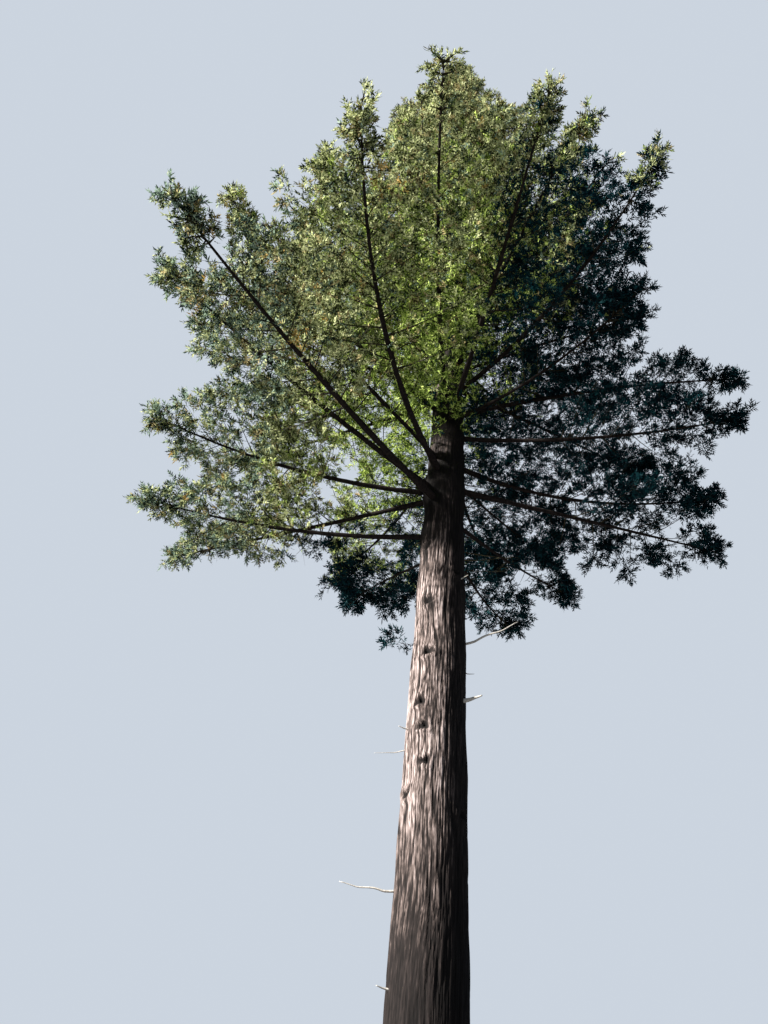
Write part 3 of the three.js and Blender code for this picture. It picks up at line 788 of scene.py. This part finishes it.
def wood_arrays(line, shares, sides, radii):
    """A closed tube along a bough's line, with a radius for each ring and side"""
    shares = np.concatenate([shares[:1], shares, shares[-1:]])
    closed = np.full(sides, CLOSED_RADIUS)
    radii = np.vstack([closed, radii, closed])
    centres = np.array([line_point(line, share) for share in shares])
    frames = [line_frame(line, share) for share in shares]
    rights = np.array([frame[1] for frame in frames])
    uppers = np.array([frame[2] for frame in frames])
    return tube_arrays(centres[None], rights[None], uppers[None], radii[None])


def bough_arrays():
    """Tubes with rough bark along every stem, from inside the trunk or the stem that it forks from"""
    parts = []
    for bough in BOUGHS:
        for number, stem in enumerate(bough["stems"]):
            line = stem["line"]
            rings = BOUGH_RINGS["limb" if bough["limb"] else "hidden"]
            steps, sides = max(LEAST_RINGS, int(line["span"] / rings["gap"])), rings["sides"]
            root = 0.0
            if number == 0 and bough["name"] != "leader":
                root = ROOTS["bough"] * trunk_radius(line["start"][2]) / line["span"]
            shares = mix(root, BOUGH_END, np.linspace(0, 1, steps + 1))
            radii = np.empty((steps + 1, sides))
            for ring, share in enumerate(shares):
                for side in range(sides):
                    turn = side / sides * 2 * math.pi
                    x, y = ROUGHNESS["around"] * math.cos(turn), ROUGHNESS["around"] * math.sin(turn)
                    place = Vector((x, y, share * line["span"] * ROUGHNESS["along"] + line["start"][2]))
                    finer = ROUGHNESS["finer_size"] * noise.noise(place * ROUGHNESS["finer"])
                    swell = ROUGHNESS["size"] * (noise.noise(place) + finer)
                    radii[ring, side] = line_radius(line, share) * (1 + swell)
            parts.append(wood_arrays(line, shares, sides, radii))
    return merged(parts)


def dead_arrays(height, heading, reach, rise, radius):
    """A bare dead limb: a thin closed tube that wanders"""
    line = bough_line((0, 0, height), heading, reach, rise)
    root = ROOTS["dead"] * trunk_radius(height) / reach
    along = np.linspace(0, 1, DEAD_WOOD["rings"])
    sides = DEAD_WOOD["sides"]
    knobs = np.where(np.arange(sides) % 2, *DEAD_WOOD["knobs"])
    radii = radius * (1 - DEAD_WOOD["taper"] * along)[:, None] * knobs
    shares = mix(root, 1, along)
    vertices, quads = wood_arrays(line, shares, sides, radii)
    for ring, share in enumerate([shares[0], *shares, shares[-1]]):
        wander = np.array(noise.noise_vector(Vector((share * DEAD_WOOD["bends"], height, heading))))
        wander *= DEAD_WOOD["wander"] * reach * math.sin(math.pi * share)
        vertices[ring * sides : (ring + 1) * sides] += wander
    return vertices, quads


def node_tree(name):
    material = bpy.data.materials.new(name)
    material.use_nodes = True
    tree = material.node_tree
    return material, tree, tree.nodes["Principled BSDF"]


def noise_value(tree, scale, stretch=(1, 1, 1), detail=4):
    coordinates = tree.nodes.new("ShaderNodeTexCoord")
    mapping = tree.nodes.new("ShaderNodeMapping")
    mapping.inputs["Scale"].default_value = stretch
    texture = tree.nodes.new("ShaderNodeTexNoise")
    texture.inputs["Scale"].default_value = scale
    texture.inputs["Detail"].default_value = detail
    tree.links.new(coordinates.outputs["Object"], mapping.inputs["Vector"])
    tree.links.new(mapping.outputs["Vector"], texture.inputs["Vector"])
    return texture.outputs["Fac"]


def math_value(tree, operation, *values):
    """The result of an operation on constants and on other nodes' values"""
    node = tree.nodes.new("ShaderNodeMath")
    node.operation = operation
    for socket, value in zip(node.inputs, values):
        if isinstance(value, (int, float)):
            socket.default_value = value
        else:
            tree.links.new(value, socket)
    return node.outputs[0]


def weighted(tree, offset, *terms):
    """An offset and a sum of values, each times its weight"""
    total = offset
    for value, weight in terms:
        total = math_value(tree, "MULTIPLY_ADD", value, weight, total)
    return total


def paint(tree, shader, tone, stops, roughness, specular):
    """Colours a shader by a tone, on a ramp through the stops, and returns the colour"""
    colours = tree.nodes.new("ShaderNodeValToRGB")
    while len(colours.color_ramp.elements) < len(stops):
        colours.color_ramp.elements.new(0.5)
    for element, (place, colour) in zip(colours.color_ramp.elements, stops):
        element.position = place
        element.color = (*colour, 1)
    tree.links.new(tone, colours.inputs["Fac"])
    tree.links.new(colours.outputs["Color"], shader.inputs["Base Color"])
    shader.inputs["Roughness"].default_value = roughness
    shader.inputs["Specular IOR Level"].default_value = specular
    return colours.outputs["Color"]


def add_bump(tree, shader, relief, strength, distance):
    bump = tree.nodes.new("ShaderNodeBump")
    bump.inputs["Strength"].default_value = strength
    bump.inputs["Distance"].default_value = distance
    tree.links.new(relief, bump.inputs["Height"])
    tree.links.new(bump.outputs["Normal"], shader.inputs["Normal"])


def needle_material(kind):
    """Needles that let light through. Their tone drifts over the crown and differs from needle to needle"""
    material, tree, shader = node_tree(f"needles_{kind}")
    own = tree.nodes.new("ShaderNodeNewGeometry").outputs["Random Per Island"]
    drift = noise_value(tree, 2)
    clumps = noise_value(tree, 8, detail=1)
    grain = noise_value(tree, 36, detail=0)
    tone = weighted(tree, -1.25, (drift, 0.7), (clumps, 1.2), (grain, 1.2), (own, 0.4))
    colour = paint(tree, shader, tone, list(zip(NEEDLE_STOPS, KINDS[kind])), 0.5, 0.05)
    through = tree.nodes.new("ShaderNodeBsdfTranslucent")
    tree.links.new(colour, through.inputs["Color"])
    both = tree.nodes.new("ShaderNodeMixShader")
    both.inputs["Fac"].default_value = NEEDLE_GLOW
    tree.links.new(shader.outputs["BSDF"], both.inputs[1])
    tree.links.new(through.outputs["BSDF"], both.inputs[2])
    tree.links.new(both.outputs["Shader"], tree.nodes["Material Output"].inputs["Surface"])
    return material


def bark_material():
    """Pale ridges and dark furrows, partly painted shade, by the mesh's own ridge value, which also holds the
    trunk's painted shade, with fine strands and paler patches
    """
    material, tree, shader = node_tree("trunk_bark")
    ridge = tree.nodes.new("ShaderNodeAttribute")
    ridge.attribute_name = "ridge"
    strands = noise_value(tree, 50, (1, 1, 0.08))
    flakes = noise_value(tree, 28, (1, 1, 0.3), 8)
    patches = noise_value(tree, 1.6, (1, 1, 0.6), 6)
    mottling = weighted(tree, -1.8, (strands, 2.2), (flakes, 1.8), (patches, 1.3))
    tone = math_value(tree, "MULTIPLY", ridge.outputs["Fac"], mottling)
    paint(tree, shader, tone, BARK_TONES, 0.92, 0.15)
    add_bump(tree, shader, strands, 0.8, 0.012)
    return material


def wood_material(name):
    dark, pale, fineness, roughness = WOODS[name]
    material, tree, shader = node_tree(name)
    grain = noise_value(tree, fineness, (1, 1, 0.5))
    paint(tree, shader, grain, [(0.3, dark), (0.7, pale)], roughness, 0.1)
    add_bump(tree, shader, grain, 0.6, 0.01)
    return material


def floor_material():
    material, tree, shader = node_tree("pale_floor")
    paler = [channel * FLOOR_MOTTLE for channel in FLOOR]
    paint(tree, shader, noise_value(tree, 3), [(0.4, FLOOR), (0.6, paler)], 0.9, 0)
    return material


# Colours of the backdrop and of the fill. Key light: direction, strength, size in degrees and colour
BACKDROP = (0.6, 0.66, 0.74)
FILL = (0.11, 0.16, 0.23)
KEY_LIGHT = ((-0.86, -0.33, 0.38), 14.5, 3.5, (1.0, 0.96, 0.9))
FLOOR = (0.22, 0.225, 0.23)
FLOOR_MOTTLE = 1.04
FLOOR_RADIUS = 800
FLOOR_SIDES = 96
# Bark's tones, from the bottom of a furrow to the crest of a ridge. The dark furrows are partly the bark's
# own colour and partly painted shade
BARK_TONES = [
    (0.0, (0.004, 0.0035, 0.0035)),
    (0.25, (0.022, 0.017, 0.016)),
    (0.5, (0.11, 0.085, 0.077)),
    (0.75, (0.215, 0.172, 0.162)),
    (1.0, (0.38, 0.315, 0.3)),
]
# Other woods: dark and pale tone, how fine their grain is, and roughness. The limbs' dark tones are their
# bark's own colour with painted shade
WOODS = {
    "twig_bark": ((0.012, 0.011, 0.007), (0.045, 0.04, 0.022), 30, 0.8),
    # The limbs' bark is darkened with painted shade
    "limb_bark_and_shade": ((0.005, 0.004, 0.004), (0.024, 0.018, 0.016), 22, 0.9),
    "dead_wood": ((0.36, 0.33, 0.29), (0.68, 0.64, 0.58), 40, 0.85),
}
# How much of a needle's light comes through it, and kinds of needles with their dark, middle and light tones
NEEDLE_GLOW = 0.35
NEEDLE_STOPS = (0.22, 0.5, 0.8)
KINDS = {
    "olive": ((0.006, 0.01, 0.004), (0.2, 0.24, 0.09), (0.74, 0.78, 0.42)),
    "lime": ((0.01, 0.024, 0.005), (0.19, 0.29, 0.045), (0.7, 0.84, 0.24)),
    "grey": ((0.004, 0.01, 0.009), (0.078, 0.125, 0.088), (0.37, 0.49, 0.37)),
    "bronze": ((0.016, 0.014, 0.006), (0.2, 0.17, 0.07), (0.62, 0.52, 0.26)),
    # The next kind's dark blue-greens are painted shade, for sprays on the crown's shaded side
    "painted_shade": ((0.0005, 0.002, 0.0045), (0.002, 0.014, 0.022), (0.009, 0.055, 0.062)),
    "autumn": ((0.16, 0.1, 0.02), (0.45, 0.3, 0.08), (0.72, 0.52, 0.22)),
}
KIND_NAMES = list(KINDS)
# The crown's radius at a few heights, for how far out a spray is
CROWN_RADII = np.array([[11, 7], [17, 7.5], [24, 5.2], [31, 3.0], [38, 0.6]])
DRIFT_SCALE = 0.8
# The crown's painted shade in metres, by where it starts and over what span. It deepens to the right, the
# more so far back and low down, and lessens with the height. A few zones have more of it, and the near tips
# have less
SHADE = {
    "width": 3.6,
    "back": {"y": -3, "span": 6, "gain": 1.5},
    "down": {"z": 21, "span": -4, "gain": 0.8},
    "height": {"z": 15, "loss": 0.03},
    "low_right": {"z": 15.6, "x": 0.3, "gain": 0.3},
    "near_tips": {"z": 15.5, "y": -2, "outer": 0.84, "loss": 0.55},
    "low_back": {"z": 13.4, "y": 0.8, "x": -4.4, "span": 1.5, "gain": 0.9},
    "lowest": {"z": 10.6, "gain": 0.9},
    "drift": 0.35,
    "luck": 0.22,
}
# Shares of the kinds. Lime gets less outward and high up, bronze more high up, and autumn more in patches
LIME = {"share": 1.3, "outward": 1.25, "high": 22, "loss": 0.6}
GREY = {"share": 0.1, "outer": 0.55}
BRONZE = {"share": 0.1, "outer": 0.35, "high": 22, "gain": 0.1}
# Sprays whose shade passes this get the needles of painted shade
DEEP_SHADE = 0.5
AUTUMN = {"share": 0.005, "shade": 0.4, "patch": 0.42, "outer": 0.6, "gain": 0.25}
# At the low left there is less lime and more grey: partly the outer tips' own grey-green and partly painted
# shade under the crown
LOW_LEFT = {"lime": {"z": 14, "x": -1.5, "gain": -0.5}, "grey": {"z": 15.5, "x": -3.2, "gain": 0.45}}


def ramp(value, start, span):
    """0 before the start and 1 past the span"""
    return np.clip((value - start) / span, 0, 1)


def shade_of(x, y, z, outer, drift):
    """How far the sprays are in the painted shade"""
    back, down, height = SHADE["back"], SHADE["down"], SHADE["height"]
    across = x + back["gain"] * ramp(y, back["y"], back["span"])
    across += down["gain"] * ramp(z, down["z"], down["span"])
    shade = across / SHADE["width"] - height["loss"] * (z - height["z"]) + SHADE["drift"] * drift
    zone = SHADE["low_right"]
    shade += zone["gain"] * ((z < zone["z"]) & (x > zone["x"]))
    zone = SHADE["near_tips"]
    shade -= zone["loss"] * ((outer > zone["outer"]) & (y < zone["y"]) & (z > zone["z"]))
    zone = SHADE["low_back"]
    shade += zone["gain"] * ramp(x, zone["x"], zone["span"]) * ((z < zone["z"]) & (y > zone["y"]))
    shade += SHADE["lowest"]["gain"] * (z < SHADE["lowest"]["z"])
    return shade + rng.normal(0, SHADE["luck"], len(x))


def kinds_of(sprays):
    """The kind of needles on each spray, by its place in the crown"""
    x, y, z = sprays.start.T
    outer = np.hypot(x, y) / between(CROWN_RADII, z)
    drift = np.array([noise.noise(Vector(place * DRIFT_SCALE)) for place in sprays.start])
    luck, chance = rng.uniform(0, 1, (2, len(x)))
    shade = shade_of(x, y, z, outer, drift)
    low_left = {name: zone["gain"] * ((z < zone["z"]) & (x < zone["x"])) for name, zone in LOW_LEFT.items()}
    lime = LIME["share"] - LIME["outward"] * outer - LIME["loss"] * (z >= LIME["high"]) + low_left["lime"]
    grey = GREY["share"] + low_left["grey"]
    bronze = BRONZE["share"] + BRONZE["gain"] * (z > BRONZE["high"])
    autumn = AUTUMN["share"] + AUTUMN["gain"] * ((drift > AUTUMN["patch"]) & (outer > AUTUMN["outer"]))
    picks = {
        "lime": luck < lime,
        "grey": (luck < grey) & (outer > GREY["outer"]),
        "bronze": (chance < bronze) & (outer > BRONZE["outer"]),
        # Sprays far in the shade get the needles of painted shade
        "painted_shade": shade > DEEP_SHADE,
        "autumn": (chance > 1 - autumn) & (shade < AUTUMN["shade"]),
    }
    kinds = np.full(len(x), KIND_NAMES.index("olive"))
    for name, picked in picks.items():
        kinds[picked] = KIND_NAMES.index(name)
    return kinds


def make_camera():
    data = bpy.data.cameras.new("camera")
    data.sensor_width = SENSOR_MM
    data.lens = FOCAL_PIXELS * SENSOR_MM / IMAGE_HEIGHT
    data.clip_start = 0.1
    data.clip_end = 1000
    camera = bpy.data.objects.new("camera", data)
    bpy.context.scene.collection.objects.link(camera)
    pitch, roll = math.radians(PITCH), math.radians(ROLL)
    forward = Vector((0, math.cos(pitch), math.sin(pitch)))
    level = Vector((1, 0, 0))
    above = level.cross(forward)
    across = level * math.cos(roll) + above * math.sin(roll)
    over = above * math.cos(roll) - level * math.sin(roll)
    camera.matrix_world = Matrix.Translation(EYE) @ Matrix((across, over, -forward)).transposed().to_4x4()
    bpy.context.scene.camera = camera


def add_sun(name, direction, strength, size, colour):
    light = bpy.data.lights.new(name, "SUN")
    light.energy = strength
    light.angle = math.radians(size)
    light.color = colour
    lamp = bpy.data.objects.new(name, light)
    lamp.rotation_mode = "QUATERNION"
    lamp.rotation_quaternion = Vector(direction).to_track_quat("Z", "Y")
    bpy.context.scene.collection.objects.link(lamp)


def make_studio():
    """A pale floor and backdrop, a low key light from the left, and a weaker fill from all round"""
    world = bpy.data.worlds.new("studio")
    world.use_nodes = True
    tree = world.node_tree
    backdrop, fill = tree.nodes["Background"], tree.nodes.new("ShaderNodeBackground")
    backdrop.inputs["Color"].default_value = (*BACKDROP, 1)
    fill.inputs["Color"].default_value = (*FILL, 1)
    both = tree.nodes.new("ShaderNodeMixShader")
    seen = tree.nodes.new("ShaderNodeLightPath").outputs["Is Camera Ray"]
    tree.links.new(seen, both.inputs["Fac"])
    tree.links.new(fill.outputs["Background"], both.inputs[1])
    tree.links.new(backdrop.outputs["Background"], both.inputs[2])
    tree.links.new(both.outputs["Shader"], tree.nodes["World Output"].inputs["Surface"])
    bpy.context.scene.world = world
    bpy.context.scene.view_settings.view_transform = "Standard"
    add_sun("key_light", *KEY_LIGHT)
    turns = np.arange(FLOOR_SIDES) / FLOOR_SIDES * 2 * np.pi
    corners = FLOOR_RADIUS * np.stack([np.cos(turns), np.sin(turns), 0 * turns], axis=-1)
    mesh_piece("floor", corners, np.arange(FLOOR_SIDES)[None], floor_material())


def add_piece(piece, nodes):
    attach(piece, "root")
    if nodes:
        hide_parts(*nodes)


def add_wood():
    """The trunk, the boughs, and the dead limbs and stubs"""
    bark, deadwood = bark_material(), wood_material("dead_wood")
    for part in TRUNK_RINGS:
        add_piece(trunk_piece(part, bark), ["trunk"])
    limb_nodes = [f"bough_{bough['name']}" for bough in BOUGHS if bough["limb"]]
    boughs = mesh_piece("boughs", *bough_arrays(), wood_material("limb_bark_and_shade"), smooth=True)
    add_piece(boughs, limb_nodes)
    for name, *sizes in DEAD_LIMBS:
        limb = mesh_piece(f"{name}_wood", *dead_arrays(*sizes), deadwood, smooth=True)
        add_piece(limb, [name])
    stubs = merged([dead_arrays(*sizes) for sizes in STUBS])
    add_piece(mesh_piece("dead_stubs", *stubs, deadwood, smooth=True), [])


def add_foliage():
    """Branches along the stems, shoots along the branches and sprays of needles along the shoots"""
    stems = stem_curves(BOUGHS)
    branches = joined(all_branches(), sprig_curves())
    shoots = joined(
        offshoots(branches, shoot_length, SHOOT_THICKNESS, **SHOOTS),
        offshoots(stems, shoot_length, SHOOT_THICKNESS, **STEM_SHOOTS),
        tufts(branches, TIP_SHOOT_LENGTH, SHOOT_THICKNESS, **TIP_SHOOTS),
        tufts(stems, TIP_SHOOT_LENGTH, SHOOT_THICKNESS, **TIP_SHOOTS),
        tufts(stem_curves(FAN), ROUND_TUFT_RADIUS, SHOOT_THICKNESS, **ROUND_TUFTS),
    )
    shoots = within_reach(cleared(shoots))
    sprays = joined(
        offshoots(shoots, spray_length, SHOOT_THICKNESS, **SPRAYS),
        tufts(shoots, SPRAY_LENGTH, SHOOT_THICKNESS, **TIP_SPRAYS),
    )
    sprays = within_reach(cleared(sprays))
    branches.radius *= BRANCH_THINNING
    twigs = merged([tubes_of(branches, 4, 4), tubes_of(shoots, 3, 1)])
    add_piece(mesh_piece("twigs", *twigs, wood_material("twig_bark")), MASS_NODES)
    needles = needle_arrays(sprays)
    kinds = kinds_of(sprays)
    for kind, name in enumerate(KIND_NAMES):
        own = needles[kinds == kind]
        material = needle_material(name)
        for part, chunk in enumerate(np.array_split(own, len(own) * NEEDLES // PIECE_FACES + 1)):
            vertices = chunk.reshape(-1, 3)
            faces = np.arange(len(vertices)).reshape(-1, 3)
            piece = mesh_piece(f"needles_{name}_{part + 1}", vertices, faces, material)
            add_piece(piece, MASS_NODES)


make_camera()
make_studio()
add_wood()
add_foliage()
